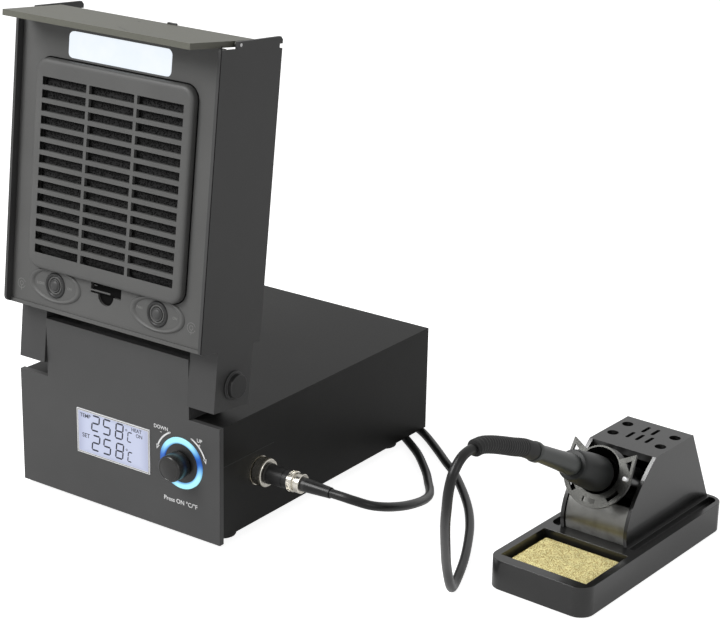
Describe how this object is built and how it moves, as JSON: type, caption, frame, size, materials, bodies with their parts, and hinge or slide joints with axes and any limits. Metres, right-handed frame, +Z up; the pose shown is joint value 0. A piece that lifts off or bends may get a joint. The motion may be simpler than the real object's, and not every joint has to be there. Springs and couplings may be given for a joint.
{
  "type": "soldering iron station",
  "caption": "Bench soldering station with a fold-back fume extractor head, lamp and display, and a corded iron resting in its own stand with a sponge",
  "frame": {"origin": "middle of the object's outline seen from above, at the table's height; the free cord isn't counted", "axes": "+X to the right along the control panel, from the station to the stand; +Y away from the user; +Z up"},
  "size_m": [0.4158, 0.3674, 0.3311],
  "materials": {
    "case_plastic": "fine matt texture, dark grey",
    "cover_paint": "matt dark grey powder coat on sheet steel",
    "dark_rubber": "matt",
    "black_screw": "black zinc",
    "bright_steel": "turned",
    "black_plastic": "satin black",
    "display_glass": "clear window",
    "display_unit": "backlit display, pale blue-white",
    "circuit_board": "green solder mask",
    "encoder_case": "nickel-plated",
    "knob_plastic": "smooth matt cap",
    "light_guide": "milky light guide, lit",
    "transformer_wrap": "taped winding",
    "standoff_brass": "turned",
    "rocker_red": "lit rocker",
    "coupling_metal": "satin nickel",
    "cord_rubber": "matt black silicone",
    "head_plastic": "fine matt texture, dark grey",
    "face_plastic": "fine matt texture, mid grey",
    "filter_foam": "open-cell carbon foam",
    "visor_plastic": "fine matt texture, seen bright from above",
    "stand_metal": "satin black enamel",
    "shield_metal": "gloss black enamel",
    "sponge": "pale yellow cellulose",
    "holder_metal": "plain steel",
    "handle_plastic": "satin grey",
    "grip_rubber": "smooth grey silicone",
    "barrel_steel": "turned",
    "heater_ceramic": "white alumina",
    "tip_plating": "iron-plated, tinned point"
  },
  "bodies": {
    "station": {"front_panel": "case_plastic", "case_cover": "cover_paint", "base_tray": "cover_paint", "rear_panel": "cover_paint", "case_feet": "dark_rubber", "case_screws": "black_screw", "hinge_tower": "case_plastic", "hinge_pins": "bright_steel", "hinge_caps": "black_plastic", "display_window": "display_glass", "display_module": "display_unit", "control_board": "circuit_board", "encoder_body": "encoder_case", "knob_light_ring": "light_guide", "power_transformer": "transformer_wrap", "main_board": "circuit_board", "board_standoffs": "standoff_brass", "mains_inlet": "black_plastic", "iron_socket": "black_plastic", "socket_nut": "encoder_case", "plug_body": "black_plastic", "plug_clamp": "coupling_metal", "plug_sleeve": "cord_rubber", "iron_cord_front": "cord_rubber", "iron_cord_coil": "cord_rubber", "iron_cord_rear": "cord_rubber", "cord_tie": "black_plastic", "stand_base": "stand_metal", "stand_tower": "stand_metal", "stand_shield": "shield_metal", "stand_feet": "dark_rubber", "holder_ring": "holder_metal", "holder_tube": "holder_metal", "holder_screws": "bright_steel"},
    "head": {"left_cheek": "head_plastic", "right_cheek": "head_plastic", "face_panel": "face_plastic", "head_housing": "head_plastic", "lamp_lens": "light_guide", "lamp_board": "light_guide", "foam_filter": "filter_foam", "fan_frame": "black_plastic", "button_board": "circuit_board", "visor_pins": "bright_steel"},
    "visor_flap": {"visor": "visor_plastic"},
    "filter_door": {"filter_cover": "face_plastic"},
    "fan": {"fan_rotor": "black_plastic"},
    "left_push": {"left_button": "black_plastic"},
    "right_push": {"right_button": "black_plastic"},
    "knob_shaft": {"encoder_shaft": "bright_steel"},
    "knob": {"control_knob": "knob_plastic"},
    "coupling_ring": {"plug_coupling_ring": "coupling_metal"},
    "mains_switch": {"power_rocker": "rocker_red"},
    "sponge": {"cleaning_sponge": "sponge"},
    "iron": {"iron_handle": "handle_plastic", "iron_grip": "grip_rubber", "iron_barrel": "barrel_steel", "iron_heater": "heater_ceramic", "iron_tip": "tip_plating", "iron_strain_relief": "cord_rubber"}
  },
  "joints": [
    {"name": "head_hinge", "type": "hinge", "parent": "station", "child": "head", "pos_m": [-0.11936, -0.09524, 0.1084], "axis": [-1, 0, 0], "range_deg": [-6.5, 83.5]},
    {"name": "visor_hinge", "type": "hinge", "parent": "head", "child": "visor_flap", "pos_m": [-0.11936, -0.08691, 0.32455], "axis": [-1, 0, 0], "range_deg": [0, 20]},
    {"name": "filter_cover_hinge", "type": "hinge", "parent": "head", "child": "filter_door", "pos_m": [-0.11936, -0.10407, 0.29943], "axis": [-1, 0, 0], "range_deg": [0, 35]},
    {"name": "fan_spin", "type": "hinge", "parent": "head", "child": "fan", "pos_m": [-0.11936, -0.08929, 0.22769], "axis": [0, 0.9936, -0.1132], "continuous": true},
    {"name": "left_button_push", "type": "slide", "parent": "head", "child": "left_push", "axis": [0, 0.9936, -0.1132], "range_m": [0, 0.0012], "stiffness_N_per_m": 400},
    {"name": "right_button_push", "type": "slide", "parent": "head", "child": "right_push", "axis": [0, 0.9936, -0.1132], "range_m": [0, 0.0012], "stiffness_N_per_m": 400},
    {"name": "knob_push", "type": "slide", "parent": "station", "child": "knob_shaft", "axis": [0, 1, 0], "range_m": [0, 0.0008], "stiffness_N_per_m": 1500},
    {"name": "knob_turn", "type": "hinge", "parent": "knob_shaft", "child": "knob", "pos_m": [-0.06496, -0.11904, 0.0525], "axis": [0, 1, 0], "continuous": true},
    {"name": "coupling_ring_turn", "type": "hinge", "parent": "station", "child": "coupling_ring", "pos_m": [-0.02736, -0.07333, 0.0432], "axis": [1, 0, 0], "range_deg": [0, 360]},
    {"name": "mains_switch_rock", "type": "hinge", "parent": "station", "child": "mains_switch", "pos_m": [-0.07136, 0.12187, 0.0555], "axis": [1, 0, 0], "range_deg": [0, 16]},
    {"name": "sponge_lift", "type": "slide", "parent": "station", "child": "sponge", "axis": [0, 0, 1], "range_m": [0, 0.025]},
    {"name": "iron_draw", "type": "slide", "parent": "station", "child": "iron", "axis": [-0.0407, -0.8804, 0.4726], "range_m": [0, 0.09], "deforming": ["iron_cord_rear"]}
  ]
}
